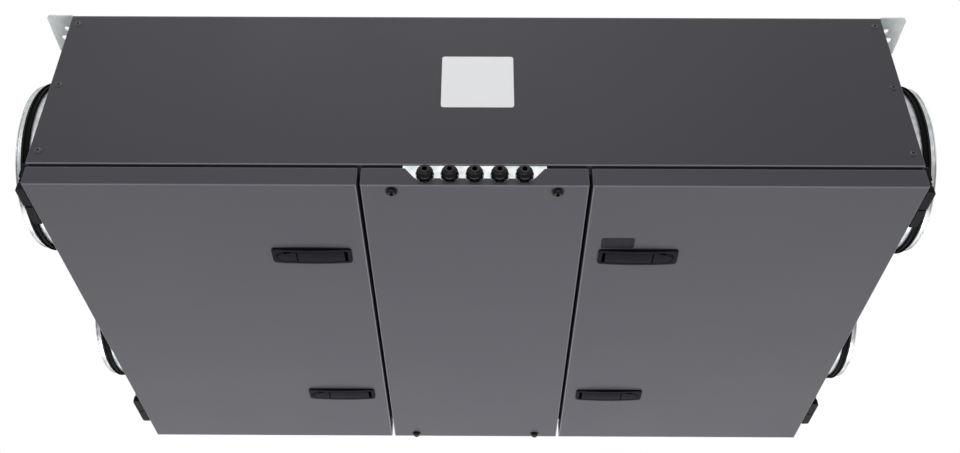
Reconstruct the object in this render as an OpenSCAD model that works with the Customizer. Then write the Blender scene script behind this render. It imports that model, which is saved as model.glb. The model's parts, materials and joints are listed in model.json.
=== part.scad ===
// Ceiling-hung air handling unit with two drop-down service doors.
// X runs along the unit, Y from front to back, Z up.
// The origin lies on the ceiling plane in the middle of the four hanger slots.

/* [Casing] */
// Length of the casing along X
casing_w = 1200; // [1160:1:1400]
// Depth of the casing along Y
casing_d = 760; // [740:1:900]
// Height of the casing without the doors
casing_h = 283; // [282:1:340]
// Sheet thickness of casing, doors and panel
sheet = 1.5; // [1:0.1:2]
// Outside radius of the folded edges
bend_r = 2.5; // [2.2:0.1:3]
// Thickness of the insulation boards behind the sheets
insulation = 15; // [12:0.5:16]
// Width of the flanges that stiffen the end panels
end_flange = 20; // [14:0.5:24]
// Width of the rails that cross the underside
rail_w = 40; // [34:1:50]
// Height of the cross rails
rail_h = 24; // [18:1:32]

/* [Doors and centre panel] */
// Width of the fixed centre panel
panel_w = 302; // [290:1:340]
// Height of the door and panel pans
pan_h = 30.5; // [30:0.5:36]
// Return flange of the pans
pan_return = 16; // [14:0.5:20]
// Gap between the centre panel and each door
door_gap = 5; // [5:0.5:8]
// Gap under the casing that the seals fill
seal_gap = 5; // [4.5:0.5:7]
// Distance of a seal from the edge of its pan
seal_inset = 3; // [2:0.5:4]
// Width of a seal
seal_w = 12; // [8:0.5:14]
// Distance by which a door ends short of the casing
door_inset = 2; // [2:0.5:4]
// Distance of the panel screws from the middle of the panel
panel_screw_x = 110; // [104:1:118]
// Distance of the panel screws from the front and rear edges
panel_screw_y = 12; // [11:0.5:13]
// Diameter of the spacers that carry the centre panel
spacer_d = 14; // [10:0.5:16]
// Diameter of a panel screw's shank
screw_d = 6; // [4:0.5:8]
// Diameter of a panel screw's washer
washer_d = 16.4; // [12:0.2:17]
// Thickness of a panel screw's washer
washer_h = 1.6; // [1:0.1:2.5]
// Diameter of a panel screw's head
head_d = 12.6; // [10:0.2:13]
// Height of a panel screw's head
head_h = 5; // [4:0.2:6]
// Width across the corners of a panel screw's hexagon socket
socket_d = 6; // [4:0.2:7]
// Depth of a panel screw's socket
socket_h = 3; // [2:0.2:3.6]

/* [Hinges] */
// Distance of the front hinges from the front
hinge_front = 11; // [8:1:30]
// Distance of the rear hinges from the rear
hinge_rear = 60; // [40:1:80]
// Length of a hinge
hinge_l = 78; // [70:1:90]
// Distance of the hinge pin from the casing's end
hinge_out = 4; // [3.8:0.1:4.6]
// Distance of the hinge pin below the casing
hinge_drop = 20.5; // [20:0.1:21.5]
// Diameter of a hinge knuckle
knuckle_d = 7; // [6.4:0.1:7.4]
// Diameter of a hinge pin
pin_d = 3.6; // [3:0.1:4]
// Thickness of a hinge leaf
leaf_t = 9.5; // [9:0.1:10.5]
// Height of a casing leaf above the casing's lower edge
casing_leaf_h = 11; // [9:0.5:12]
// Slope of the leaves' flanks that meet when a door hangs open
flank_angle = 50; // [48:0.5:54]
// Corner radius of a casing leaf
casing_leaf_corner = 6; // [4:0.5:8]
// Corner radius of a door leaf
door_leaf_corner = 4; // [2:0.5:5]
// Gap between the two leaves of a hinge
leaf_gap = 0.8; // [0.6:0.1:1]
// Gap around a hinge knuckle
knuckle_gap = 0.6; // [0.5:0.1:0.8]
// Width of the groove in the middle of a door leaf
groove_w = 3; // [2:0.5:6]
// Depth of the groove in the middle of a door leaf
groove_h = 4; // [2:0.5:5]

/* [Latches] */
// Length of a latch
latch_l = 114; // [110:1:124]
// Width of a latch
latch_w = 33; // [31:0.5:38]
// Height of a latch in its middle
latch_h = 4.6; // [4.4:0.1:5.4]
// Height of a latch at its ends
latch_end_h = 2.4; // [2.2:0.1:3.2]
// Corner radius of a latch
latch_corner = 5; // [3:0.5:6]
// Distance of a latch's middle from the middle of the unit
latch_x = 233; // [225:1:260]
// Distance of the front latches from the front
latch_front = 161; // [130:1:200]
// Distance of the rear latches from the rear
latch_rear = 173; // [130:1:200]
// Width of the rim along a latch's sides
latch_rim = 4.5; // [4.2:0.1:5.5]
// Width of the rim at a latch's ends
latch_end_rim = 5.5; // [5:0.1:6.5]
// Depth of a latch's cup behind the face of the door
latch_deep = 9; // [8:0.5:10]
// Wall thickness of a latch's cup
latch_wall = 1.5; // [1.2:0.1:1.8]
// Depth of the shallow end of a latch's pocket
hub_deep = 1.2; // [0.8:0.1:2]
// Clearance around a lever
lever_gap = 0.8; // [0.6:0.1:1]
// Length of the finger slot at a lever's free end
finger_slot = 4.8; // [3.8:0.1:6]
// Distance of the lever's pivot from the latch's outer end
pivot_from_end = 38; // [36:0.5:42]
// Radius of the lever's rounded pivot end
pivot_r = 2.8; // [2.7:0.1:2.9]
// Diameter of the lever's pivot pins
pivot_d = 2.4; // [2.2:0.1:2.5]
// Length of a pivot pin in the rim
pivot_pin_l = 3; // [2.5:0.1:3.2]
// Distance of the hub's sloping face from the hub's middle
hub_face = 5; // [4:0.5:7]
// Slope of that face
hub_slope = 25; // [16:1:28]
// Width of the finger groove along the hub's front
hub_groove = 5; // [3:0.5:6]
// Depth of the finger groove along the hub's front
hub_groove_h = 2.5; // [1.5:0.1:3]
// Diameter of the finger groove under a lever's free end
grip_d = 12; // [9:0.5:14]
// Depth of the finger groove under a lever's free end
grip_h = 2; // [1:0.1:2.4]

/* [Spigots] */
// Outside diameter of a spigot
spigot_d = 248; // [240:1:250]
// Wall thickness of a spigot
spigot_wall = 1; // [0.8:0.1:1.5]
// Length of a spigot outside the casing
spigot_l = 58; // [56:0.5:70]
// Distance of the spigots from the front and rear
spigot_y = 180; // [175:1:195]
// Height of the spigots' axes above the casing's lower edge
spigot_z = 140; // [132:1:141]
// Width of the collar on the end panel
collar_w = 3; // [2:0.5:5]
// Rise of the collar over the tube
collar_rise = 3; // [2:0.2:4]
// Radius of the rolled edge
bead_r = 1.2; // [0.8:0.1:1.5]
// Distance of a gasket from the casing
gasket_from_wall = 38.5; // [36:0.5:40]
// Width of a gasket
gasket_w = 11.5; // [10:0.5:12]
// Thickness of a gasket's band
gasket_band = 1.5; // [1:0.1:2]
// Height of a gasket's lips over the tube
gasket_lip = 4.5; // [3.5:0.1:5]
// Thickness of a gasket's lip at its tip
lip_tip = 1; // [0.6:0.1:1.4]
// Thickness of a gasket's lip at its root
lip_root = 3; // [2:0.1:3.6]
// Lean of a gasket's lips towards the casing
lip_lean = 1.6; // [1:0.1:2]

/* [Brackets] */
// Width of a bracket's hanging flange
bracket_w = 40; // [38:1:50]
// Length of a bracket
bracket_l = 76; // [70:1:100]
// Thickness of a bracket
bracket_t = 2.5; // [2:0.1:3]
// Height of a bracket's leaf on the casing
bracket_leaf = 26; // [18:1:28]
// Corner radius of a bracket
bracket_corner = 7; // [4:0.5:9]
// Distance by which a bracket's leaf ends short of its flange
leaf_back = 7; // [6:0.5:9]
// Width of a hanger slot
slot_w = 11; // [9:0.5:12]
// Length of a hanger slot
slot_l = 20; // [16:0.5:22]
// Distance of a hanger slot's middle from the casing's end
slot_x = 20; // [19:0.5:22]
// Distance of a hanger slot from the front or rear
slot_y = 45; // [42:0.5:50]
// Diameter of the tie holes
tie_d = 9; // [7:0.5:10]
// Distance of a tie hole from the casing's end
tie_x = 16; // [14:0.5:18]
// Distance of a tie hole from the front or rear
tie_y = 26; // [20:0.5:28]

/* [Cable entry] */
// Number of cable glands
gland_n = 5; // [3:1:5]
// Distance between the glands
gland_pitch = 33; // [30:0.5:34]
// Distance of the glands' axes below the casing
gland_drop = 18; // [17.5:0.5:18.5]
// Width across the corners of a gland's hexagon
gland_d = 23.6; // [22:0.2:24]
// Diameter of a gland's cap
gland_cap_d = 24.4; // [24:0.2:25]
// Thickness of a gland's hexagon
gland_hex_l = 4; // [3:0.2:6]
// Length of a gland's cap
gland_cap_l = 12.5; // [11.5:0.5:14]
// Diameter of a gland's mouth
gland_mouth = 13; // [10:0.2:14]
// Diameter of a gland's thread
gland_thread = 15; // [13:0.2:16]
// Thickness of a gland's lock nut
gland_nut_l = 5; // [4:0.2:6]
// Diameter of a gland's cable bore
gland_bore = 7; // [5:0.2:8]
// Number of ribs on a gland's cap
gland_ribs = 12; // [8:1:18]
// Diameter of a rib
gland_rib_d = 1.6; // [1:0.1:2]
// Length of the ribs
gland_rib_l = 3; // [2.5:0.5:5]
// Set-back of the gland plate behind the front
plate_back = 2; // [2:0.1:4]
// Clear space beside the outer glands on the gland plate
plate_side = 30; // [29:0.5:33]
// Clear space between a gland and the cut-out around it
gland_clear = 1.2; // [0.8:0.1:1.4]
// Depth of the cut-out between the glands
tooth_z = 23; // [21:0.2:24]
// Splay of the cut-out's sides
cutout_splay = 15.5; // [10:0.5:16]

/* [Inside] */
// Distance of the exchanger from the front
core_front = 145; // [140:1:170]
// Distance of the exchanger from the rear
core_rear = 30; // [28:1:40]
// Half width of the exchanger's straight sides
core_half = 140; // [138:1:150]
// Distance of the exchanger's points from the middle
core_tip = 290; // [270:1:310]
// Distance between the exchanger's plates
plate_pitch = 8; // [6:0.5:12]
// Thickness of an exchanger plate
plate_t = 3; // [2:0.2:4]
// Depth of the slots between the plates
plate_slot = 4; // [2:0.5:6]
// Thickness of the partitions
divider_t = 22; // [18:1:26]
// Distance of the control box from the exchanger
box_gap = 10; // [6:1:20]
// Distance of the filters from the middle
filter_x = 430; // [400:1:450]
// Thickness of a filter
filter_t = 48; // [40:1:60]
// Thickness of a filter's frame
filter_frame = 4; // [3:0.5:6]
// Number of pleats in a filter
pleats = 20; // [12:1:28]
// Thickness of the filter medium
media_t = 2; // [1.6:0.2:3]
// Distance of a fan plate from the middle
fan_x = 400; // [390:1:420]
// Diameter of a fan wheel
fan_d = 210; // [190:1:220]
// Length of a fan wheel
fan_l = 76; // [60:1:84]
// Diameter of a fan inlet
inlet_d = 160; // [140:1:170]
// Length of the collar around a fan inlet
inlet_l = 12; // [8:0.5:20]
// Thickness of a fan's plates
fan_plate = 3; // [2:0.2:4]
// Number of fan blades
blades = 7; // [5:1:11]
// Thickness of a fan blade
blade_t = 2.5; // [2:0.1:4]
// Diameter of a fan motor
motor_d = 92; // [80:1:100]
// Diameter of a fan's stay rods
stay_d = 10; // [8:0.5:12]
// Distance of the stay rods from the fan's axis
stay_r = 118; // [116:1:122]

/* [Hidden] */
$fn = 72;
fit = 0.3;
run_fit = 0.05;
over = 1;
half_w = casing_w / 2;
half_d = casing_d / 2;
top_z = -bracket_t;
low_z = top_z - casing_h;
pan_top = low_z - seal_gap;
pan_low = pan_top - pan_h;
lining_x = half_w - sheet;
lining_y = half_d - 2 * sheet;
room_x = lining_x - insulation;
room_y = lining_y - insulation;
room_top = top_z - sheet - insulation;
lining_low = low_z + sheet;
return_w = half_d - sheet - room_y;
end_return = half_w - sheet - room_x;
rail_x = panel_w / 2 + door_gap / 2;
door_w = half_w - door_inset - panel_w / 2 - door_gap;
door_x = -half_w + door_inset;
axis_x = -half_w - hinge_out;
axis_z = low_z - hinge_drop;
door_edge = hinge_out + door_inset;
leaf_out = leaf_t - hinge_out;
flank_h = leaf_out * tan(flank_angle) + leaf_gap / 2;
casing_leaf_top = hinge_drop + casing_leaf_h;
door_leaf_low = axis_z - pan_low;
knuckle_l = hinge_l / 4;
inner_bend = bend_r - sheet;
crown = latch_h - latch_end_h;
crown_r = (latch_l * latch_l / 4 + crown * crown) / (2 * crown);
pocket_r = latch_w / 2 - latch_rim;
pocket_end = latch_l / 2 - latch_end_rim;
hub_x = -pocket_end + pocket_r;
pivot_x = -latch_l / 2 + pivot_from_end;
pivot_z = crown_z(pivot_x) - pivot_r;
lever_end = pocket_end - finger_slot;
lever_low = pivot_z - pivot_r;
hub_turn = 225;
spigot_r = spigot_d / 2;
spigot_mid_y = half_d - spigot_y;
spigot_mid_z = low_z + spigot_z;
gland_z = low_z - gland_drop;
gland_row = (gland_n - 1) * gland_pitch;
plate_w = gland_row + 2 * plate_side;
plate_front = -half_d + plate_back;
gland_reach = gland_hex_l + gland_cap_l;
cut_r = gland_cap_d / 2 + gland_clear;
core_y0 = -half_d + core_front;
core_y1 = half_d - core_rear;
core_mid = (core_y0 + core_y1) / 2;
core_low = low_z + rail_h;
core_top = room_top - fit;
core_plates = floor((core_top - core_low - plate_t) / plate_pitch);
front_room = core_mid - divider_t / 2;
rear_room = core_mid + divider_t / 2;
fan_y = (rear_room + room_y) / 2;
inner_low = low_z + sheet;
filter_y0 = -room_y + fit;
filter_w = front_room - fit - filter_y0;
filter_h = core_top - inner_low;
pleat_w = (filter_w - 2 * filter_frame) / pleats;
pleat_d = filter_t - 2 * filter_frame;
blade_r = fan_d / 3;

// Height of a latch's crowned face at a place along the latch
function crown_z(x) = latch_h - crown_r + sqrt(crown_r * crown_r - x * x);

// Shape on the left end and its mirror image on the right end
module both_ends() {
    children();
    mirror([1, 0, 0]) children();
}

// Shape at the front and its mirror image at the rear
module both_sides() {
    children();
    mirror([0, 1, 0]) children();
}

// Box between two corners
module block(low, high) {
    translate(low) cube(high - low);
}

// Flat outline with four round corners, about its middle
module rounded(l, w, r) {
    square([l - 2 * r, w], center = true);
    square([l, w - 2 * r], center = true);
    for (x = [-1, 1], y = [-1, 1]) {
        translate([x * (l / 2 - r), y * (w / 2 - r)]) circle(r);
    }
}

// Flat outline of a slot along X
module slot_shape(l, w) {
    square([l - w, w], center = true);
    for (x = [-1, 1]) {
        translate([x * (l - w) / 2, 0]) circle(w / 2);
    }
}

// Sheet over the whole casing
module top_panel() {
    color("#55555a") block([-half_w, -half_d, top_z - sheet], [half_w, half_d, top_z]);
}

// Cutter that rounds an edge along X at the origin
module edge_cut(l, r) {
    difference() {
        translate([-over, -over, -over]) cube([l + 2 * over, r + over, r + over]);
        translate([-2 * over, r, r]) rotate([0, 90, 0]) cylinder(h = l + 4 * over, r = r);
    }
}

// Cutters for the four lower edges of a box
module rim_cuts(size, r) {
    edge_cut(size.x, r);
    translate([0, size.y, 0]) mirror([0, 1, 0]) edge_cut(size.x, r);
    mirror([1, -1, 0]) edge_cut(size.y, r);
    translate([size.x, 0, 0]) mirror([1, 0, 0]) mirror([1, -1, 0]) edge_cut(size.y, r);
}

// Box with round edges below and above
module soft_box(size, r) {
    difference() {
        cube(size);
        rim_cuts(size, r);
        translate([0, 0, size.z]) mirror([0, 0, 1]) rim_cuts(size, r);
    }
}

// Face sheet with a return flange folded from its lower edge
module face_sheet() {
    difference() {
        union() {
            block([-half_w, -half_d, low_z], [half_w, -half_d + sheet, top_z - sheet]);
            block([-lining_x, -half_d, low_z], [lining_x, -half_d + sheet + return_w, low_z + sheet]);
        }
        translate([-half_w, -half_d, low_z]) edge_cut(casing_w, bend_r);
    }
}

module front_panel() {
    color("#55555a") face_sheet();
}

module rear_panel() {
    color("#55555a") mirror([0, 1, 0]) face_sheet();
}

// End sheet with side flanges, a lower return and two duct holes
module end_sheet() {
    side_y = half_d - sheet;
    difference() {
        union() {
            block([-half_w, -side_y, low_z], [-lining_x, side_y, top_z - sheet]);
            block([-half_w, -room_y, low_z], [-half_w + sheet + end_return, room_y, low_z + sheet]);
            both_sides() {
                block([-half_w, -side_y, lining_low], [-half_w + end_flange, -lining_y, top_z - sheet]);
            }
        }
        both_sides() {
            spigot_place() cylinder(h = 2 * insulation, r = spigot_r + fit, center = true);
        }
    }
}

module left_end_panel() {
    color("#55555a") end_sheet();
}

module right_end_panel() {
    color("#55555a") mirror([1, 0, 0]) end_sheet();
}

module top_lining() {
    color("#303033") block([-lining_x, -lining_y, room_top], [lining_x, lining_y, top_z - sheet]);
}

module front_lining() {
    color("#303033") block([-lining_x, -lining_y, lining_low], [lining_x, -room_y, room_top]);
}

module rear_lining() {
    color("#303033") block([-lining_x, room_y, lining_low], [lining_x, lining_y, room_top]);
}

// Boards at one end, in front of and behind the partition
module end_boards() {
    difference() {
        union() {
            block([-lining_x, -room_y, lining_low], [-room_x, front_room, room_top]);
            block([-lining_x, rear_room, lining_low], [-room_x, room_y, room_top]);
        }
        both_sides() {
            spigot_place() cylinder(h = 3 * insulation, r = spigot_r + fit, center = true);
        }
    }
}

module left_end_lining() {
    color("#303033") end_boards();
}

module right_end_lining() {
    color("#303033") mirror([1, 0, 0]) end_boards();
}

module cross_rails() {
    half = rail_w / 2;
    inner = half - sheet;
    color("#c9ccd0") both_ends() difference() {
        block([-rail_x - half, -room_y, low_z], [-rail_x + half, room_y, core_low]);
        block([-rail_x - inner, -half_d, low_z + sheet], [-rail_x + inner, half_d, core_low - sheet]);
    }
}

module air_dividers() {
    color("#303033") both_ends() {
        block([-lining_x, front_room, inner_low], [-core_tip - fit, rear_room, room_top]);
    }
}

// Plan of the exchanger, drawn in by a margin
module core_plan(margin) {
    polygon([
        [-core_tip + margin, core_mid],
        [-core_half + margin, core_y0 + margin],
        [core_half - margin, core_y0 + margin],
        [core_tip - margin, core_mid],
        [core_half - margin, core_y1 - margin],
        [-core_half + margin, core_y1 - margin]
    ]);
}

module heat_exchanger() {
    color("#b9bec4") translate([0, 0, core_low]) {
        linear_extrude(core_top - core_low) core_plan(plate_slot);
        for (i = [0 : core_plates]) {
            translate([0, 0, i * plate_pitch]) linear_extrude(plate_t) core_plan(0);
        }
    }
}

module control_box() {
    box_half = rail_x - rail_w / 2 - fit;
    color("#c9ccd0") block(
        [-box_half, -room_y, inner_low],
        [box_half, core_y0 - box_gap, room_top]
    );
}

module filter_frames() {
    color("#d8d4c8") both_ends() {
        difference() {
            translate([-filter_x - filter_t / 2, filter_y0, inner_low]) {
                cube([filter_t, filter_w, filter_h]);
            }
            translate([-filter_x - filter_t, filter_y0 + filter_frame, inner_low + filter_frame]) {
                cube([2 * filter_t, filter_w - 2 * filter_frame, filter_h - 2 * filter_frame]);
            }
        }
    }
}

// Pleated sheet seen from above
module pleat_plan() {
    folds = [for (i = [0 : 2 * pleats]) [(i % 2) * pleat_d, i * pleat_w / 2]];
    backs = [for (i = [2 * pleats : -1 : 0]) [(i % 2) * pleat_d + media_t, i * pleat_w / 2]];
    polygon(concat(folds, backs));
}

module filter_media() {
    color("#f0efea") both_ends() {
        translate([
            -filter_x - filter_t / 2 + filter_frame - media_t / 2,
            filter_y0 + filter_frame,
            inner_low + filter_frame
        ]) linear_extrude(filter_h - 2 * filter_frame) pleat_plan();
    }
}

// Places a fan with its axis along X, its wheel towards the spigot
module fan_place() {
    translate([-fan_x, fan_y, spigot_mid_z]) rotate([0, -90, 0]) children();
}

// Fan plate with inlet collar, stay rods and motor plate
module fan_frame() {
    stay_l = fan_plate + fan_l + 3 * fan_plate;
    difference() {
        union() {
            block(
                [-fan_x - fan_plate, rear_room + fit, inner_low],
                [-fan_x, room_y - fit, room_top - fit]
            );
            fan_place() translate([0, 0, -inlet_l]) cylinder(h = inlet_l, d = inlet_d + 4 * fan_plate);
        }
        fan_place() cylinder(h = 4 * inlet_l, d = inlet_d, center = true);
    }
    fan_place() {
        for (a = [45 : 90 : 315]) {
            rotate(a) {
                translate([stay_r, 0, 0]) cylinder(h = stay_l, d = stay_d);
                translate([0, -stay_d / 2, stay_l - fan_plate]) cube([stay_r, stay_d, fan_plate]);
            }
        }
        translate([0, 0, stay_l - fan_plate]) cylinder(h = fan_plate, d = motor_d);
    }
}

module fan_plates() {
    color("#c9ccd0") both_ends() fan_frame();
}

// Curved blade between the rings of a fan wheel
module blade() {
    translate([0, motor_d / 2, 0]) {
        translate([blade_r, 0, 0]) rotate(105) rotate_extrude(angle = 60) {
            translate([blade_r, 0]) square([blade_t, fan_l - fan_plate]);
        }
    }
}

// Fan wheel with its motor
module wheel() {
    hub_l = 2 * fan_plate - fit;
    ring_in = inlet_d / 2 + fan_plate;
    fan_place() translate([0, 0, 2 * fan_plate]) {
        difference() {
            cylinder(h = fan_plate, d = fan_d);
            cylinder(h = 3 * fan_plate, r = ring_in, center = true);
        }
        translate([0, 0, fan_l - fan_plate]) cylinder(h = fan_plate, d = fan_d);
        translate([0, 0, fan_l / 3]) cylinder(h = fan_l - fan_l / 3 + hub_l - fan_plate, d = motor_d);
        intersection() {
            cylinder(h = fan_l, d = fan_d);
            union() {
                for (a = [0 : 360 / blades : 359]) {
                    rotate(a) blade();
                }
            }
        }
    }
}

module fan_wheels() {
    color("#2b2b2d") both_ends() wheel();
}

// Open pan with lips all round and return flanges at the top
module pan(w) {
    difference() {
        soft_box([w, casing_d, pan_h], bend_r);
        translate([sheet, sheet, sheet]) {
            soft_box([w - 2 * sheet, casing_d - 2 * sheet, pan_h - 2 * sheet], inner_bend);
        }
        translate([pan_return, pan_return, pan_h - 2 * sheet]) {
            cube([w - 2 * pan_return, casing_d - 2 * pan_return, 3 * sheet]);
        }
    }
}

// Seal around the top of a pan
module pan_seal(w) {
    ring_h = seal_gap - fit;
    inner = seal_inset + seal_w;
    translate([0, 0, pan_h]) difference() {
        translate([seal_inset, seal_inset, 0]) {
            cube([w - 2 * seal_inset, casing_d - 2 * seal_inset, ring_h]);
        }
        translate([inner, inner, -ring_h]) {
            cube([w - 2 * inner, casing_d - 2 * inner, 3 * ring_h]);
        }
    }
}

// Insulation board that fills a pan
module pan_board(w) {
    low_h = pan_h - 2 * sheet;
    translate([sheet, sheet, sheet]) soft_box([w - 2 * sheet, casing_d - 2 * sheet, low_h], bend_r);
    translate([pan_return, pan_return, sheet]) {
        cube([w - 2 * pan_return, casing_d - 2 * pan_return, pan_h - sheet]);
    }
}

// Opening in the panel's front lip, seen from the front, around the row of glands
module cutout_plan() {
    half = gland_row / 2 + cut_r;
    polygon([
        [-half - cutout_splay, over],
        [-half, -tooth_z + seal_gap],
        [half, -tooth_z + seal_gap],
        [half + cutout_splay, over]
    ]);
    for (i = [0 : gland_n - 1]) {
        translate([i * gland_pitch - gland_row / 2, -gland_drop + seal_gap]) circle(cut_r);
    }
}

module centre_panel() {
    color("#66656a") difference() {
        translate([-panel_w / 2, -half_d, pan_low]) pan(panel_w);
        translate([0, -half_d + 2 * pan_return, pan_top]) rotate([90, 0, 0]) {
            linear_extrude(3 * pan_return) cutout_plan();
        }
        screw_places() translate([0, 0, pan_low]) {
            cylinder(h = 3 * sheet, d = screw_d + 2 * fit, center = true);
        }
        spacer_notches();
        plate_notch();
    }
}

// Room in the panel's front return flange for the gland plate
module plate_notch() {
    half = plate_w / 2 + fit;
    block([-half, -half_d + sheet, pan_top - 2 * sheet], [half, -half_d + 2 * pan_return, pan_top + over]);
}

// Room in the panel's return flanges for the spacers
module spacer_notches() {
    screw_places() translate([0, 0, pan_low + pan_h / 2]) cylinder(h = pan_h, d = spacer_d + 2 * fit);
}

module panel_seal() {
    gap_half = plate_w / 2 + 2 * fit;
    color("#161617") difference() {
        translate([-panel_w / 2, -half_d, pan_low]) pan_seal(panel_w);
        block([-gap_half, -half_d, pan_top - over], [gap_half, -half_d + 2 * pan_return, low_z + over]);
        screw_places() cylinder(h = 3 * pan_h - 2 * low_z, d = spacer_d + 2 * fit, center = true);
    }
}

// Places of the four screws of the centre panel
module screw_places() {
    for (x = [-1, 1], y = [-1, 1]) {
        translate([x * panel_screw_x, y * (half_d - panel_screw_y), 0]) children();
    }
}

module panel_spacers() {
    color("#c9ccd0") screw_places() translate([0, 0, pan_low + sheet]) difference() {
        cylinder(h = low_z - pan_low - sheet, d = spacer_d);
        translate([0, 0, -over]) cylinder(h = low_z - pan_low, d = screw_d);
    }
}

module panel_screws() {
    shank_l = pan_h / 2;
    color("#1c1c1e") screw_places() translate([0, 0, pan_low]) mirror([0, 0, 1]) difference() {
        union() {
            cylinder(h = washer_h, d = washer_d);
            translate([0, 0, washer_h]) rotate_extrude() intersection() {
                resize([head_d, 2 * head_h]) circle(head_h);
                square([head_d / 2, head_h]);
            }
            translate([0, 0, washer_h - shank_l]) cylinder(h = shank_l, d = screw_d - fit);
        }
        translate([0, 0, washer_h + head_h - socket_h]) cylinder(h = socket_h + over, d = socket_d, $fn = 6);
    }
}

// Places of the cable glands, with their axes along Y and the outside towards the front
module gland_places() {
    for (i = [0 : gland_n - 1]) {
        translate([i * gland_pitch - gland_row / 2, plate_front, gland_z]) rotate([90, 0, 0]) children();
    }
}

module gland_plate() {
    plate_low = gland_z - cut_r - sheet;
    color("#d5d8db") difference() {
        union() {
            block([-plate_w / 2, plate_front, plate_low], [plate_w / 2, plate_front + sheet, low_z]);
            block(
                [-plate_w / 2, plate_front, low_z - sheet],
                [plate_w / 2, -half_d + return_w, low_z]
            );
        }
        gland_places() cylinder(h = 4 * sheet, d = gland_thread + 2 * fit, center = true);
    }
}

// One gland along Z, its mouth upwards and its flange on the plane Z = 0
module gland() {
    cap_r = gland_cap_d / 2 - gland_rib_d / 2;
    mouth_r = gland_mouth / 2;
    collar_l = gland_rib_l + over;
    dome_l = gland_cap_l - collar_l - over;
    difference() {
        union() {
            cylinder(h = gland_hex_l, d = gland_d, $fn = 6);
            translate([0, 0, gland_hex_l]) rotate_extrude() {
                square([cap_r, collar_l]);
                translate([0, collar_l]) intersection() {
                    resize([2 * cap_r, 2 * dome_l]) circle(cap_r);
                    square([cap_r, dome_l]);
                }
                square([mouth_r, gland_cap_l]);
            }
            for (a = [0 : 360 / gland_ribs : 359]) {
                rotate(a) translate([cap_r, 0, gland_hex_l - over]) {
                    cylinder(h = gland_rib_l + over, d = gland_rib_d);
                }
            }
            translate([0, 0, -sheet - gland_nut_l - over]) {
                cylinder(h = sheet + gland_nut_l + 2 * over, d = gland_thread);
            }
            translate([0, 0, -sheet - gland_nut_l]) cylinder(h = gland_nut_l, d = gland_d, $fn = 6);
        }
        cylinder(h = 3 * gland_reach, d = gland_bore, center = true);
    }
}

module cable_glands() {
    color("#1c1c1e") gland_places() gland();
}

// Places a spigot at the front left, with Z pointing out of the casing
module spigot_place() {
    translate([-half_w, -spigot_mid_y, spigot_mid_z]) rotate([0, -90, 0]) children();
}

module spigot() {
    inner_r = spigot_r - spigot_wall;
    depth = half_w - room_x;
    spigot_place() rotate_extrude() {
        translate([inner_r, -depth]) square([spigot_wall, depth + spigot_l - bead_r]);
        translate([inner_r, 0]) square([spigot_wall + collar_rise, collar_w]);
        difference() {
            translate([spigot_r - spigot_wall / 2, spigot_l - bead_r]) circle(bead_r);
            translate([inner_r - 2 * bead_r, 0]) square([2 * bead_r, 2 * spigot_l]);
        }
    }
}

module spigot_front_left() {
    color("#c9ccd0") spigot();
}

module spigot_rear_left() {
    color("#c9ccd0") mirror([0, 1, 0]) spigot();
}

module spigot_front_right() {
    color("#c9ccd0") mirror([1, 0, 0]) spigot();
}

module spigot_rear_right() {
    color("#c9ccd0") mirror([1, 0, 0]) mirror([0, 1, 0]) spigot();
}

// Rubber band with two lips that lean back towards the casing
module gasket() {
    band_r = spigot_r + run_fit;
    tip_r = spigot_r + gasket_lip;
    spigot_place() translate([0, 0, gasket_from_wall]) rotate_extrude() {
        translate([band_r, 0]) square([gasket_band, gasket_w]);
        for (a = [lip_lean, gasket_w - lip_root]) {
            polygon([
                [band_r + gasket_band / 2, a],
                [tip_r, a - lip_lean],
                [tip_r, a - lip_lean + lip_tip],
                [band_r + gasket_band / 2, a + lip_root]
            ]);
        }
    }
}

module spigot_gaskets() {
    color("#161617") both_ends() both_sides() gasket();
}

// Upright leaf of a bracket, with round lower corners
module leaf_plate() {
    leaf_l = bracket_l - 2 * leaf_back;
    translate([-half_w - bracket_t, -half_d + bracket_l / 2, -bracket_leaf / 2]) rotate([90, 0, 90]) {
        linear_extrude(bracket_t) {
            rounded(leaf_l, bracket_leaf, bracket_corner);
            translate([-leaf_l / 2, 0]) square([leaf_l, bracket_leaf / 2]);
        }
    }
}

// Angle bracket at the front left with a hanger slot and a tie hole
module bracket() {
    flange_mid = -half_w - bracket_w / 2;
    difference() {
        union() {
            translate([flange_mid, -half_d + bracket_l / 2, top_z]) linear_extrude(bracket_t) {
                rounded(bracket_w, bracket_l, bracket_corner);
                translate([bracket_w / 4, 0]) square([bracket_w / 2, bracket_l], center = true);
            }
            leaf_plate();
        }
        translate([-half_w - slot_x, -half_d + slot_y, top_z - over]) {
            linear_extrude(bracket_t + 2 * over) slot_shape(slot_l, slot_w);
        }
        translate([-half_w, -half_d, 0]) mirror([1, 0, 0]) mirror([0, 0, 1]) mirror([1, -1, 0]) {
            edge_cut(bracket_l, bracket_t);
        }
        translate([-half_w - tie_x, -half_d + tie_y, top_z - over]) {
            cylinder(h = bracket_t + 2 * over, d = tie_d);
        }
    }
}

module left_brackets() {
    color("#b4b9bd") both_sides() bracket();
}

module right_brackets() {
    color("#b4b9bd") mirror([1, 0, 0]) both_sides() bracket();
}

// Places of the left hinges, with Z along the pin from front to back and Y pointing down
module hinge_places() {
    for (y = [-half_d + hinge_front, half_d - hinge_rear - hinge_l]) {
        translate([axis_x, y, axis_z]) rotate([-90, 0, 0]) children();
    }
}

// Cylinder on the hinge pin's line
module on_pin(from, l, d) {
    translate([0, 0, from]) cylinder(h = l, d = d);
}

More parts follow.
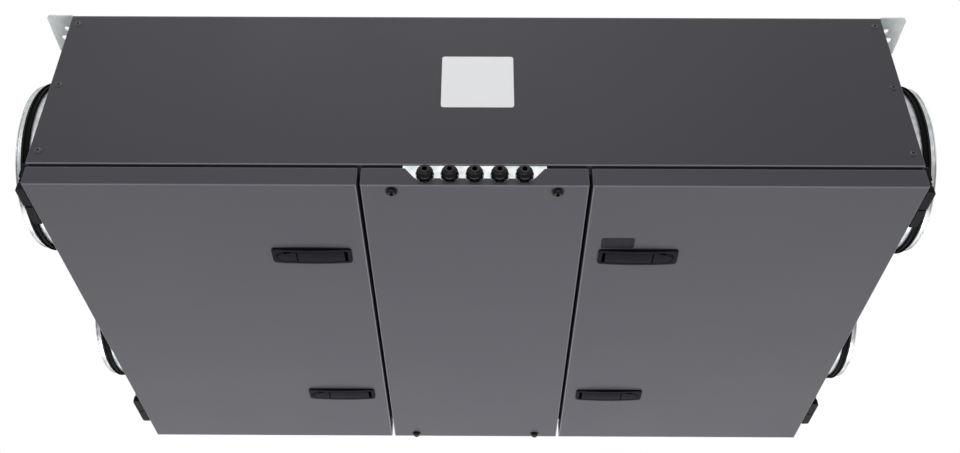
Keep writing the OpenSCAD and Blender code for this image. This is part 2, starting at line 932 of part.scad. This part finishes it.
// Casing leaf without its knuckles, with a sloped flank and round upper corners
module casing_leaf_block() {
    outline_h = casing_leaf_top + leaf_t;
    intersection() {
        linear_extrude(hinge_l) polygon([
            [0, -leaf_gap / 2],
            [hinge_out, -leaf_gap / 2],
            [hinge_out, -casing_leaf_top],
            [-leaf_out, -casing_leaf_top],
            [-leaf_out, -flank_h]
        ]);
        translate([0, leaf_t - outline_h / 2, hinge_l / 2]) rotate([0, 90, 0]) {
            linear_extrude(4 * leaf_t, center = true) rounded(hinge_l, outline_h, casing_leaf_corner);
        }
    }
}

// Casing leaf with its two knuckles and the pin
module casing_leaf() {
    difference() {
        casing_leaf_block();
        on_pin(knuckle_l - knuckle_gap, 2 * knuckle_l + 2 * knuckle_gap, knuckle_d + 2 * knuckle_gap);
    }
    on_pin(0, knuckle_l - knuckle_gap, knuckle_d);
    on_pin(3 * knuckle_l + knuckle_gap, knuckle_l - knuckle_gap, knuckle_d);
    on_pin(0, hinge_l, pin_d - 2 * run_fit);
}

module casing_hinge_leaves() {
    color("#1c1c1e") both_ends() hinge_places() casing_leaf();
}

// Door leaf without its knuckle, with a sloped flank, round corners and a groove in its middle
module door_leaf_block() {
    outline_w = leaf_out + door_edge + leaf_t;
    difference() {
        intersection() {
            linear_extrude(hinge_l) polygon([
                [0, leaf_gap / 2],
                [door_edge, leaf_gap / 2],
                [door_edge, door_leaf_low],
                [-leaf_out, door_leaf_low],
                [-leaf_out, flank_h]
            ]);
            translate([outline_w / 2 - leaf_out, 0, hinge_l / 2]) rotate([-90, 0, 0]) {
                linear_extrude(4 * pan_h, center = true) rounded(outline_w, hinge_l, door_leaf_corner);
            }
        }
        translate([-leaf_t, door_leaf_low - groove_h, (hinge_l - groove_w) / 2]) {
            cube([2 * leaf_t - hinge_out, 2 * groove_h, groove_w]);
        }
    }
}

// Door leaf with its knuckle around the pin
module door_leaf() {
    room_d = knuckle_d + 2 * knuckle_gap;
    difference() {
        union() {
            difference() {
                door_leaf_block();
                on_pin(-over, knuckle_l + over, room_d);
                on_pin(3 * knuckle_l, knuckle_l + over, room_d);
            }
            on_pin(knuckle_l, 2 * knuckle_l, knuckle_d);
        }
        on_pin(-over, hinge_l + 2 * over, pin_d);
    }
}

module left_hinge_leaves() {
    color("#1c1c1e") hinge_places() door_leaf();
}

module right_hinge_leaves() {
    color("#1c1c1e") mirror([1, 0, 0]) hinge_places() door_leaf();
}

// Place of a latch on the left door, with Z pointing down from the door
module latch_place(y) {
    translate([-latch_x, y, pan_low]) mirror([0, 0, 1]) children();
}

// Places of both latches on the left door
module latch_places() {
    latch_place(-half_d + latch_front) children();
    latch_place(half_d - latch_rear) children();
}

// Round surface that crowns a latch
module crown_solid() {
    translate([0, 0, latch_h - crown_r]) rotate([90, 0, 0]) {
        cylinder(h = 2 * latch_w, r = crown_r, center = true, $fn = 256);
    }
}

// Flat outline of a latch's pocket with its round outer end, grown by a margin
module pocket_plan(grow) {
    half = pocket_r + grow;
    translate([hub_x, 0]) circle(half);
    translate([hub_x, -half]) square([pocket_end + grow - hub_x, 2 * half]);
}

// Shape that a latch's cup takes up behind the face of the door
module cup_space(grow) {
    translate([0, 0, -latch_deep - grow]) {
        linear_extrude(latch_deep + grow + over) pocket_plan(latch_wall + grow);
    }
}

// Fixed hub beside the lever, with a round end, a sloping face and a finger groove
module hub() {
    hub_end = pivot_x - pivot_r - lever_gap / 2;
    half = pocket_r - lever_gap;
    high = crown_z(hub_x);
    difference() {
        intersection() {
            translate([0, 0, -hub_deep - over]) linear_extrude(latch_h + hub_deep + over) {
                translate([hub_x, 0]) circle(half);
                translate([hub_x, -half]) square([hub_end - hub_x, 2 * half]);
            }
            crown_solid();
        }
        translate([hub_x, 0, high]) rotate(hub_turn) translate([hub_face, 0, 0]) rotate([0, hub_slope, 0]) {
            translate([0, -latch_w, 0]) cube(2 * latch_w);
        }
        translate([hub_x, -half, high - hub_groove_h]) linear_extrude(latch_h) polygon([
            [0, -over],
            [hub_end - hub_x - hub_deep, -over],
            [0, hub_groove]
        ]);
    }
}

// Latch base with a crowned rim, the cup behind the door and the hub beside the lever
module latch_base() {
    deep_from = pivot_x - pivot_r - lever_gap;
    deep_low = -latch_deep + latch_wall;
    pin_span = 2 * (pocket_r + pivot_pin_l + run_fit);
    difference() {
        union() {
            intersection() {
                linear_extrude(latch_h) rounded(latch_l, latch_w, latch_corner);
                crown_solid();
            }
            cup_space(0);
        }
        translate([0, 0, -hub_deep]) linear_extrude(2 * latch_h) pocket_plan(0);
        block([deep_from, -pocket_r, deep_low], [pocket_end, pocket_r, 0]);
        translate([pivot_x, 0, pivot_z]) rotate([90, 0, 0]) {
            cylinder(h = pin_span, d = pivot_d + 2 * run_fit, center = true);
        }
    }
    hub();
}

// Lever that lies in the pocket and lifts about its pivot pins
module lever() {
    half = pocket_r - lever_gap;
    intersection() {
        difference() {
            block([pivot_x, -half, lever_low], [lever_end, half, latch_h]);
            translate([lever_end, 0, lever_low - grip_d / 2 + grip_h]) rotate([90, 0, 0]) {
                cylinder(h = 2 * latch_w, d = grip_d, center = true);
            }
        }
        crown_solid();
    }
    translate([pivot_x, 0, pivot_z]) rotate([90, 0, 0]) {
        cylinder(h = 2 * half, r = pivot_r, center = true);
        cylinder(h = 2 * (pocket_r + pivot_pin_l), d = pivot_d, center = true);
    }
}

module door_latches() {
    latch_places() latch_base();
}

module left_latches() {
    color("#2b2b2d") door_latches();
}

module right_latches() {
    color("#2b2b2d") mirror([1, 0, 0]) door_latches();
}

module lever_front_left() {
    color("#333335") latch_place(-half_d + latch_front) lever();
}

module lever_rear_left() {
    color("#333335") latch_place(half_d - latch_rear) lever();
}

module lever_front_right() {
    color("#333335") mirror([1, 0, 0]) latch_place(-half_d + latch_front) lever();
}

module lever_rear_right() {
    color("#333335") mirror([1, 0, 0]) latch_place(half_d - latch_rear) lever();
}

// Place of the left door's pan
module door_place() {
    translate([door_x, -half_d, pan_low]) children();
}

// Door pan with openings for its latches
module door_pan() {
    difference() {
        door_place() pan(door_w);
        latch_places() cup_space(fit);
    }
}

// Insulation board of a door with room for the latches' cups
module door_board() {
    difference() {
        door_place() pan_board(door_w);
        latch_places() cup_space(fit);
    }
}

module left_door() {
    color("#66656a") door_pan();
}

module left_door_lining() {
    color("#303033") door_board();
}

module left_door_seal() {
    color("#161617") door_place() pan_seal(door_w);
}

module right_door() {
    color("#66656a") mirror([1, 0, 0]) door_pan();
}

module right_door_lining() {
    color("#303033") mirror([1, 0, 0]) door_board();
}

module right_door_seal() {
    color("#161617") mirror([1, 0, 0]) door_place() pan_seal(door_w);
}

top_panel();
front_panel();
rear_panel();
left_end_panel();
right_end_panel();
top_lining();
front_lining();
rear_lining();
left_end_lining();
right_end_lining();
cross_rails();
air_dividers();
heat_exchanger();
control_box();
filter_frames();
filter_media();
fan_plates();
fan_wheels();
centre_panel();
panel_seal();
panel_spacers();
panel_screws();
gland_plate();
cable_glands();
spigot_front_left();
spigot_rear_left();
spigot_front_right();
spigot_rear_right();
spigot_gaskets();
left_brackets();
right_brackets();
casing_hinge_leaves();
left_door();
left_door_lining();
left_door_seal();
left_hinge_leaves();
left_latches();
right_door();
right_door_lining();
right_door_seal();
right_hinge_leaves();
right_latches();
lever_front_left();
lever_rear_left();
lever_front_right();
lever_rear_right();
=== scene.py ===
import json
import math

import bmesh
import bpy
from mathutils import Matrix, Vector


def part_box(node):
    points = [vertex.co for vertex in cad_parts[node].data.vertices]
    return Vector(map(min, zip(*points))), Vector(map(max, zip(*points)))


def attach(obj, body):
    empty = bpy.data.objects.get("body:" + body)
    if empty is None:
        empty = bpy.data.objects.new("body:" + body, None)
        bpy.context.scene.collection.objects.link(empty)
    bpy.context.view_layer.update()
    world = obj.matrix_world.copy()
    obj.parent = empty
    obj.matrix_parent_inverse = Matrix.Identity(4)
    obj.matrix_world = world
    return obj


# Sizes and places are in metres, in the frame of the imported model.

# Camera that matches the photograph: its place, its turns and its lens
CAMERA_PLACE = (0.0081, -1.4995, -1.204)
CAMERA_TILT_DEG = 36.114
CAMERA_YAW_DEG = -0.267
CAMERA_ROLL_DEG = 0.387
CAMERA_SHIFT_X = 0.0036
SENSOR_MM = 36.0
LENS_MM = 40.69

# Lamps: name, place, the point that it faces, width and height, and watts
LAMPS = (
    ("key", (-0.3, -2.4, 2.2), (0.0, 0.0, -0.1), (2.4, 1.4), 22),
    ("front", (0.0, -3.4, -1.0), (0.0, -0.38, -0.15), (2.4, 1.0), 22),
    ("left_box", (-1.5, -2.4, -0.6), (0.0, -0.38, -0.2), (0.16, 1.4), 4),
    ("right_box", (1.5, -2.4, -0.6), (0.0, -0.38, -0.2), (0.16, 1.4), 2),
    ("under", (0.0, 1.1, -2.5), (0.0, 1.1, 0.0), (4.6, 1.2), 88),
    ("rear_glow", (0.0, 4.6, -2.2), (0.0, 0.3, -0.32), (7.0, 1.5), 56),
)

# Strength of the white world as light on the unit, and as the background that is seen
WORLD_LIGHT = 0.42
WORLD_SEEN = 1.0

# Floor far below the unit, and the share of its look that comes from its own glow
FLOOR_Z = -9.0
FLOOR_SIZE = 400.0
FLOOR_ROUGHNESS = 0.9
FLOOR_GLOW = 0.6
FLOOR_GRAIN_SCALE = 40.0
FLOOR_GRAIN_STRENGTH = 0.05
FLOOR_GRAIN_DEPTH = 0.002

# Fine grain of the unit's own surfaces
GRAIN_DEPTH = 0.0002
GRAIN_DETAIL = 2.0

# Powder coat: its grain, and the soft clouds in which its roughness varies
PAINT_SPECULAR = 0.2
PAINT_ROUGHNESS = 0.46
PAINT_ROUGHNESS_SPREAD = 0.04
PAINT_GRAIN_SCALE = 900.0
PAINT_GRAIN_STRENGTH = 0.08
PAINT_CLOUD_SCALE = 7.0
PAINT_CLOUD_DETAIL = 3.0

# Where the painted highlight on folded edges turns from its lighter tone to the tone of the flat sheet,
# and how far that painted highlight reaches from a cut or folded corner
HIGHLIGHT_FROM = 0.84
HIGHLIGHT_TO = 0.995
HIGHLIGHT_REACH = 0.0009
HIGHLIGHT_SAMPLES = 8

# Galvanised sheet: its grain and its spangles
ZINC_GRAIN_SCALE = 260.0
ZINC_GRAIN_STRENGTH = 0.04
ZINC_SPANGLE_SCALE = 90.0

# Plastic: its usual grain and shine
PLASTIC_GRAIN_SCALE = 1400.0
PLASTIC_GRAIN_STRENGTH = 0.12
PLASTIC_SPECULAR = 0.25

# Soft edges of the moulded pieces
PLASTIC_EDGE = 0.0006
WELD = 0.00001
BEVEL_FROM_DEG = 35
BEVEL_SEGMENTS = 3

# Small screws with a pressed washer on the casing, heights above the casing's lower edge
SCREW_WASHER_R = 0.0052
SCREW_WASHER_H = 0.0008
SCREW_WASHER_TOP_R = 0.004888
SCREW_WASHER_SIDE_H = 0.00056
SCREW_HEAD_R = 0.0037
SCREW_HEAD_H = 0.0021
SCREW_RECESS_R = 0.0017
SCREW_RECESS_H = 0.0020
SCREW_SIDES = 32
SCREW_DOME_STEPS = 6
SCREW_FROM_END = 0.012
SCREW_HEIGHTS = (0.022, 0.143, 0.266)

# Screws that hold the brackets' leaves
BRACKET_SCREW_ALONG = (0.020, 0.056)
BRACKET_SCREW_DOWN = 0.016

# Blank plates: one on the front panel, one on the right door
FRONT_PLATE = (0.102, 0.098)
FRONT_PLATE_X = 0.003
FRONT_PLATE_LOW = 0.103
DOOR_PLATE = (0.047, 0.024)
DOOR_PLATE_X = 0.2015
DOOR_PLATE_FROM_FRONT = 0.129
PLATE_T = 0.0003
PLATE_CORNER = 0.004
PLATE_CORNER_STEPS = 6

# Moulded nodes
HINGE_NODES = ("casing_hinge_leaves", "left_hinge_leaves", "right_hinge_leaves")
LATCH_NODES = ("left_latches", "right_latches", "lever_front_left",
               "lever_rear_left", "lever_front_right", "lever_rear_right")


def srgb(r, g, b):
    """Linear colour from a screen colour with channels from 0 to 255, by the sRGB curve."""
    def linear(value):
        c = value / 255
        return c / 12.92 if c <= 0.04045 else ((c + 0.055) / 1.055) ** 2.4
    return (linear(r), linear(g), linear(b), 1.0)


def shader(name, colour, roughness, metallic=0.0, specular=0.5):
    """Material with one Principled shader, returned with its node tree and shader."""
    material = bpy.data.materials.new(name)
    material.use_nodes = True
    bsdf = material.node_tree.nodes["Principled BSDF"]
    bsdf.inputs["Base Color"].default_value = colour
    bsdf.inputs["Roughness"].default_value = roughness
    bsdf.inputs["Metallic"].default_value = metallic
    bsdf.inputs["Specular IOR Level"].default_value = specular
    return material, material.node_tree, bsdf


def combine(tree, operation, first, second):
    """Socket with what a math operation makes of two sockets."""
    node = tree.nodes.new("ShaderNodeMath")
    node.operation = operation
    tree.links.new(first, node.inputs[0])
    tree.links.new(second, node.inputs[1])
    return node.outputs[0]


def grain(tree, bsdf, scale, strength, depth=GRAIN_DEPTH):
    """Fine bumps all over a surface; returns the texture coordinates they use."""
    coord = tree.nodes.new("ShaderNodeTexCoord")
    noise = tree.nodes.new("ShaderNodeTexNoise")
    noise.inputs["Scale"].default_value = scale
    noise.inputs["Detail"].default_value = GRAIN_DETAIL
    bump = tree.nodes.new("ShaderNodeBump")
    bump.inputs["Strength"].default_value = strength
    bump.inputs["Distance"].default_value = depth
    tree.links.new(coord.outputs["Object"], noise.inputs["Vector"])
    tree.links.new(noise.outputs["Fac"], bump.inputs["Height"])
    tree.links.new(bump.outputs["Normal"], bsdf.inputs["Normal"])
    return coord


# Mask for the painted highlight along bends and next to sharp corners
def flatness(tree, coord):
    """Socket that is 1 on flat sheet, and less on a bend or next to a sharp corner."""
    absolute = tree.nodes.new("ShaderNodeVectorMath")
    absolute.operation = "ABSOLUTE"
    tree.links.new(coord.outputs["Normal"], absolute.inputs[0])
    split = tree.nodes.new("ShaderNodeSeparateXYZ")
    tree.links.new(absolute.outputs["Vector"], split.inputs[0])
    wider = combine(tree, "MAXIMUM", split.outputs["X"], split.outputs["Y"])
    widest = combine(tree, "MAXIMUM", wider, split.outputs["Z"])
    corner = tree.nodes.new("ShaderNodeBevel")
    corner.samples = HIGHLIGHT_SAMPLES
    corner.inputs["Radius"].default_value = HIGHLIGHT_REACH
    face = tree.nodes.new("ShaderNodeNewGeometry")
    unbent = tree.nodes.new("ShaderNodeVectorMath")
    unbent.operation = "DOT_PRODUCT"
    tree.links.new(corner.outputs["Normal"], unbent.inputs[0])
    tree.links.new(face.outputs["Normal"], unbent.inputs[1])
    return combine(tree, "MINIMUM", widest, unbent.outputs["Value"])


def paint(name, colour, highlight_tone):
    """Fine powder coat, a little lighter along its folded edges and corners: a painted highlight where the
    bends catch light.
    """
    material, tree, bsdf = shader(name, colour, PAINT_ROUGHNESS, specular=PAINT_SPECULAR)
    coord = grain(tree, bsdf, PAINT_GRAIN_SCALE, PAINT_GRAIN_STRENGTH)
    tone = tree.nodes.new("ShaderNodeValToRGB")
    tone.color_ramp.elements[0].position = HIGHLIGHT_FROM
    tone.color_ramp.elements[0].color = highlight_tone
    tone.color_ramp.elements[1].position = HIGHLIGHT_TO
    tone.color_ramp.elements[1].color = colour
    tree.links.new(flatness(tree, coord), tone.inputs["Fac"])
    tree.links.new(tone.outputs["Color"], bsdf.inputs["Base Color"])
    clouds = tree.nodes.new("ShaderNodeTexNoise")
    clouds.inputs["Scale"].default_value = PAINT_CLOUD_SCALE
    clouds.inputs["Detail"].default_value = PAINT_CLOUD_DETAIL
    tree.links.new(coord.outputs["Object"], clouds.inputs["Vector"])
    sheen = tree.nodes.new("ShaderNodeMapRange")
    sheen.inputs["To Min"].default_value = PAINT_ROUGHNESS - PAINT_ROUGHNESS_SPREAD
    sheen.inputs["To Max"].default_value = PAINT_ROUGHNESS + PAINT_ROUGHNESS_SPREAD
    tree.links.new(clouds.outputs["Fac"], sheen.inputs["Value"])
    tree.links.new(sheen.outputs["Result"], bsdf.inputs["Roughness"])
    return material


def zinc(name, low, high, roughness, metallic=1.0):
    """Galvanised sheet with faint spangles between two tones."""
    material, tree, bsdf = shader(name, high, roughness, metallic=metallic)
    coord = grain(tree, bsdf, ZINC_GRAIN_SCALE, ZINC_GRAIN_STRENGTH)
    cells = tree.nodes.new("ShaderNodeTexVoronoi")
    cells.inputs["Scale"].default_value = ZINC_SPANGLE_SCALE
    tone = tree.nodes.new("ShaderNodeValToRGB")
    tone.color_ramp.elements[0].color = low
    tone.color_ramp.elements[1].color = high
    tree.links.new(coord.outputs["Object"], cells.inputs["Vector"])
    tree.links.new(cells.outputs["Distance"], tone.inputs["Fac"])
    tree.links.new(tone.outputs["Color"], bsdf.inputs["Base Color"])
    return material


def plastic(name, colour, roughness, scale=PLASTIC_GRAIN_SCALE, strength=PLASTIC_GRAIN_STRENGTH,
            specular=PLASTIC_SPECULAR):
    """Plastic, rubber, foam or fleece in one tone, with a grain of the given scale and strength."""
    material, tree, bsdf = shader(name, colour, roughness, specular=specular)
    grain(tree, bsdf, scale, strength)
    return material


def ray_seen(tree):
    """Socket that is 1 for what the camera sees, straight or in a mirror or glass, and 0 for light."""
    path = tree.nodes.new("ShaderNodeLightPath")
    mirrored = combine(tree, "MAXIMUM", path.outputs["Is Camera Ray"], path.outputs["Is Glossy Ray"])
    return combine(tree, "MAXIMUM", mirrored, path.outputs["Is Transmission Ray"])


def pale_floor(name, colour):
    """Matt floor that shows paler than its light makes it, and keeps its shadows."""
    material, tree, bsdf = shader(name, colour, FLOOR_ROUGHNESS)
    grain(tree, bsdf, FLOOR_GRAIN_SCALE, FLOOR_GRAIN_STRENGTH, FLOOR_GRAIN_DEPTH)
    shine = tree.nodes.new("ShaderNodeEmission")
    shine.inputs["Color"].default_value = colour
    share = tree.nodes.new("ShaderNodeMapRange")
    share.inputs["To Max"].default_value = FLOOR_GLOW
    tree.links.new(ray_seen(tree), share.inputs["Value"])
    both = tree.nodes.new("ShaderNodeMixShader")
    tree.links.new(share.outputs["Result"], both.inputs["Fac"])
    tree.links.new(bsdf.outputs["BSDF"], both.inputs[1])
    tree.links.new(shine.outputs["Emission"], both.inputs[2])
    tree.links.new(both.outputs["Shader"], tree.nodes["Material Output"].inputs["Surface"])
    return material


def dress(obj, material):
    obj.data.materials.clear()
    obj.data.materials.append(material)


def soften(obj, radius):
    """Rounds the edges of a CAD node without touching its own mesh."""
    weld = obj.modifiers.new("weld", "WELD")
    weld.merge_threshold = WELD
    bevel = obj.modifiers.new("bend", "BEVEL")
    bevel.width = radius
    bevel.segments = BEVEL_SEGMENTS
    bevel.limit_method = "ANGLE"
    bevel.angle_limit = math.radians(BEVEL_FROM_DEG)
    bevel.harden_normals = True


def make(name, mesh_builder, material, body):
    """New piece from a bmesh that mesh_builder fills in, riding on a body."""
    mesh = bpy.data.meshes.new(name)
    bm = bmesh.new()
    mesh_builder(bm)
    bmesh.ops.recalc_face_normals(bm, faces=bm.faces)
    bm.to_mesh(mesh)
    bm.free()
    obj = bpy.data.objects.new(name, mesh)
    bpy.context.scene.collection.objects.link(obj)
    dress(obj, material)
    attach(obj, body)


def revolve(bm, profile, place, sides):
    """Turns a profile of (radius, height) points about the Z axis of the matrix place."""
    rings = []
    for radius, height in profile:
        ring = []
        for i in range(sides):
            angle = 2 * math.pi * i / sides
            point = Vector((radius * math.cos(angle), radius * math.sin(angle), height))
            ring.append(bm.verts.new(place @ point))
        rings.append(ring)
    for low, high in zip(rings, rings[1:]):
        for i in range(sides):
            j = (i + 1) % sides
            bm.faces.new((low[i], low[j], high[j], high[i]))
    bm.faces.new(rings[0])
    bm.faces.new(rings[-1])


def looking(origin, normal):
    """Matrix whose Z axis points along normal from origin."""
    turn = Vector(normal).to_track_quat("Z", "Y").to_matrix().to_4x4()
    return Matrix.Translation(Vector(origin)) @ turn


def screw_profile():
    """Washer with a bevelled rim, then a domed head down into its round recess."""
    points = [
        (SCREW_WASHER_R, 0.0),
        (SCREW_WASHER_R, SCREW_WASHER_SIDE_H),
        (SCREW_WASHER_TOP_R, SCREW_WASHER_H),
    ]
    rise = SCREW_HEAD_H - SCREW_WASHER_H
    span = SCREW_HEAD_R - SCREW_RECESS_R
    for i in range(SCREW_DOME_STEPS + 1):
        angle = math.pi / 2 * i / SCREW_DOME_STEPS
        radius = SCREW_RECESS_R + span * math.cos(angle)
        points.append((radius, SCREW_WASHER_H + rise * math.sin(angle)))
    points.append((SCREW_RECESS_R, SCREW_HEAD_H - SCREW_RECESS_H))
    return points


def screws(name, places, material, body):
    """One piece with a screw at each (origin, normal) of places."""
    def build(bm):
        for origin, normal in places:
            revolve(bm, screw_profile(), looking(origin, normal), SCREW_SIDES)
    make(name, build, material, body)


def blank_plate(name, size, place, material, body):
    """Thin plate with round corners on the XY plane of the matrix place."""
    def build(bm):
        outline = []
        for corner, (sx, sy) in enumerate(((1, 1), (-1, 1), (-1, -1), (1, -1))):
            centre_x = sx * (size[0] / 2 - PLATE_CORNER)
            centre_y = sy * (size[1] / 2 - PLATE_CORNER)
            for i in range(PLATE_CORNER_STEPS + 1):
                angle = math.pi / 2 * (corner + i / PLATE_CORNER_STEPS)
                x = centre_x + PLATE_CORNER * math.cos(angle)
                y = centre_y + PLATE_CORNER * math.sin(angle)
                outline.append((x, y))
        low = [bm.verts.new(place @ Vector((x, y, 0.0))) for x, y in outline]
        high = [bm.verts.new(place @ Vector((x, y, PLATE_T))) for x, y in outline]
        bm.faces.new(low)
        bm.faces.new(high)
        for i in range(len(outline)):
            j = (i + 1) % len(outline)
            bm.faces.new((low[i], low[j], high[j], high[i]))
    make(name, build, material, body)


def area_light(name, place, target, size, watts):
    data = bpy.data.lights.new(name, "AREA")
    data.shape = "RECTANGLE"
    data.size, data.size_y = size
    data.energy = watts
    lamp = bpy.data.objects.new(name, data)
    bpy.context.scene.collection.objects.link(lamp)
    lamp.location = place
    aim = Vector(target) - Vector(place)
    lamp.rotation_mode = "QUATERNION"
    lamp.rotation_quaternion = aim.to_track_quat("-Z", "Y")


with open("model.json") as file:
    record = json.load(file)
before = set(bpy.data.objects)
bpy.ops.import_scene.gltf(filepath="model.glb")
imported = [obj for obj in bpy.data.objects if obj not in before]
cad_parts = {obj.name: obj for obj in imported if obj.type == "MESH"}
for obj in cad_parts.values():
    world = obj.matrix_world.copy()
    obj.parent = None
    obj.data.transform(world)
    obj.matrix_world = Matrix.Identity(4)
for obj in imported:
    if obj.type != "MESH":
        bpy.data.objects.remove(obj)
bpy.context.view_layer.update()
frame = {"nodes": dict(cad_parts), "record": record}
nodes = frame["nodes"]

# Painted sheet, with a lighter tone painted along its edges as a highlight
# The casing and the doors carry one powder coat; the casing's copy is a few levels darker, painted shade
# on its front face
casing_paint = paint("casing_paint", srgb(62, 61, 67), highlight_tone=srgb(138, 137, 144))
door_paint = paint("door_paint", srgb(66, 65, 72), highlight_tone=srgb(122, 121, 128))
# Near-black rails: painted shade that darkens the gaps between the doors and the centre panel
rail_painted_shade = paint("rail_painted_shade", srgb(12, 12, 13), highlight_tone=srgb(24, 24, 25))

# Bare metal
sheet_zinc = zinc("sheet_zinc", srgb(160, 164, 166), srgb(199, 202, 204), roughness=0.36)
bracket_zinc = zinc("bracket_zinc", srgb(182, 188, 188), srgb(200, 206, 206), roughness=0.5, metallic=0.55)
core_metal = zinc("core_metal", srgb(112, 116, 120), srgb(134, 137, 141), roughness=0.55, metallic=0.8)
screw_grey = zinc("screw_grey", srgb(64, 63, 68), srgb(84, 83, 88), roughness=0.28, metallic=0.8)

# Foam, card and fleece inside the casing
lining_foam = plastic("lining_foam", srgb(48, 48, 50), roughness=0.9, scale=500.0, strength=0.35)
filter_card = plastic("filter_card", srgb(196, 186, 160), roughness=0.85, scale=700.0, strength=0.1)
filter_fleece = plastic("filter_fleece", srgb(232, 232, 228), roughness=0.95, scale=900.0, strength=0.3)

# Rubber, plastic and the coated screws
seal_rubber = plastic(
    "seal_rubber", srgb(11, 10, 13), roughness=0.62, scale=700.0, strength=0.08, specular=0.12)
black_plastic = plastic("black_plastic", srgb(6, 5, 9), roughness=0.14, strength=0.03, specular=0.18)
hinge_plastic = plastic("hinge_plastic", srgb(13, 12, 16), roughness=0.5, specular=0.07)
latch_plastic = plastic("latch_plastic", srgb(17, 15, 23), roughness=0.55, specular=0.04)
screw_black = plastic("screw_black", srgb(9, 9, 10), roughness=0.2, scale=900.0, strength=0.02)

# Blank plates and floor
plate_white = plastic("plate_white", srgb(240, 241, 242), roughness=0.42, scale=2600.0, strength=0.06)
plate_dark = plastic(
    "plate_dark", srgb(22, 20, 27), roughness=0.45, scale=1200.0, strength=0.03, specular=0.08)
floor_white = pale_floor("floor_white", srgb(244, 244, 244))

# Each CAD node gets the material of its slot, apart from the rails and the hinges
finish_of = {
    "casing_paint": casing_paint,
    "door_paint": door_paint,
    "zinc": sheet_zinc,
    "bracket_zinc": bracket_zinc,
    "core": core_metal,
    "lining": lining_foam,
    "filter_frame": filter_card,
    "filter_media": filter_fleece,
    "seal_rubber": seal_rubber,
    "black_plastic": black_plastic,
    "latch_plastic": latch_plastic,
    "black_screw": screw_black,
}
for part in frame["record"]["subparts"]:
    dress(nodes[part["node"]], finish_of[part["material_slot"]])
# The rails get near-black paint as painted shade in the gaps beside the doors
dress(nodes["cross_rails"], rail_painted_shade)
for name in HINGE_NODES:
    dress(nodes[name], hinge_plastic)
for name in HINGE_NODES + LATCH_NODES:
    soften(nodes[name], PLASTIC_EDGE)

# Screws along the upright edges of the front panel, and at the ends of the rear panel
front_low, front_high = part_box("front_panel")
rear_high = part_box("rear_panel")[1]
casing_low = front_low.z
front_y = front_low.y
rear_y = rear_high.y - SCREW_FROM_END
front_places = []
rear_places = []
for height in SCREW_HEIGHTS:
    z = casing_low + height
    for end, side in ((front_low.x, -1), (front_high.x, 1)):
        front_places.append(((end - side * SCREW_FROM_END, front_y, z), (0, -1, 0)))
        rear_places.append(((end, rear_y, z), (side, 0, 0)))
screws("front_screws", front_places, screw_grey, "casing")
screws("rear_screws", rear_places, screw_grey, "casing")

# Screws through the brackets' upright leaves, which are as thick as the space over the top panel
top_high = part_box("top_panel")[1]
leaf_x = top_high.x - top_high.z
bracket_places = []
for name, side in (("left_brackets", -1), ("right_brackets", 1)):
    low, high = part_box(name)
    for along in BRACKET_SCREW_ALONG:
        for y in (low.y + along, high.y - along):
            bracket_places.append(((side * leaf_x, y, high.z - BRACKET_SCREW_DOWN), (side, 0, 0)))
screws("bracket_screws", bracket_places, bracket_zinc, "casing")

# Blank plate on the front panel, turned to face the front
plate_z = casing_low + FRONT_PLATE_LOW + FRONT_PLATE[1] / 2
front_face = Matrix.Translation((FRONT_PLATE_X, front_y, plate_z)) @ Matrix.Rotation(math.pi / 2, 4, "X")
blank_plate("front_blank_plate", FRONT_PLATE, front_face, plate_white, "casing")

# Blank plate on the right door, turned to face down
door_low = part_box("right_door")[0]
door_y = door_low.y + DOOR_PLATE_FROM_FRONT
under_face = Matrix.Translation((DOOR_PLATE_X, door_y, door_low.z)) @ Matrix.Rotation(math.pi, 4, "X")
blank_plate("door_blank_plate", DOOR_PLATE, under_face, plate_dark, "right_door_body")

# Floor
floor_mesh = bpy.data.meshes.new("floor")
half_floor = FLOOR_SIZE / 2
floor_mesh.from_pydata(
    [(x * half_floor, y * half_floor, FLOOR_Z) for x, y in ((-1, -1), (1, -1), (1, 1), (-1, 1))],
    [], [(0, 1, 2, 3)],
)
floor = bpy.data.objects.new("floor", floor_mesh)
bpy.context.scene.collection.objects.link(floor)
dress(floor, floor_white)

# White world, and the lamps
world = bpy.data.worlds.new("studio")
bpy.context.scene.world = world
world.use_nodes = True
world_tree = world.node_tree
background = world_tree.nodes["Background"]
background.inputs["Color"].default_value = (1.0, 1.0, 1.0, 1.0)
level = world_tree.nodes.new("ShaderNodeMapRange")
level.inputs["To Min"].default_value = WORLD_LIGHT
level.inputs["To Max"].default_value = WORLD_SEEN
world_tree.links.new(ray_seen(world_tree), level.inputs["Value"])
world_tree.links.new(level.outputs["Result"], background.inputs["Strength"])
for name, place, target, size, watts in LAMPS:
    area_light(name, place, target, size, watts)

# Camera, which looks straight down until it is turned up to the horizon and then by its tilt
camera_data = bpy.data.cameras.new("camera")
camera_data.sensor_width = SENSOR_MM
camera_data.lens = LENS_MM
camera_data.shift_x = CAMERA_SHIFT_X
camera = bpy.data.objects.new("camera", camera_data)
bpy.context.scene.collection.objects.link(camera)
turn = Matrix.Rotation(math.radians(-CAMERA_YAW_DEG), 4, "Z")
turn = turn @ Matrix.Rotation(math.pi / 2 + math.radians(CAMERA_TILT_DEG), 4, "X")
turn = turn @ Matrix.Rotation(math.radians(CAMERA_ROLL_DEG), 4, "Z")
camera.matrix_world = Matrix.Translation(Vector(CAMERA_PLACE)) @ turn
bpy.context.scene.camera = camera

bpy.context.scene.view_settings.view_transform = "Standard"
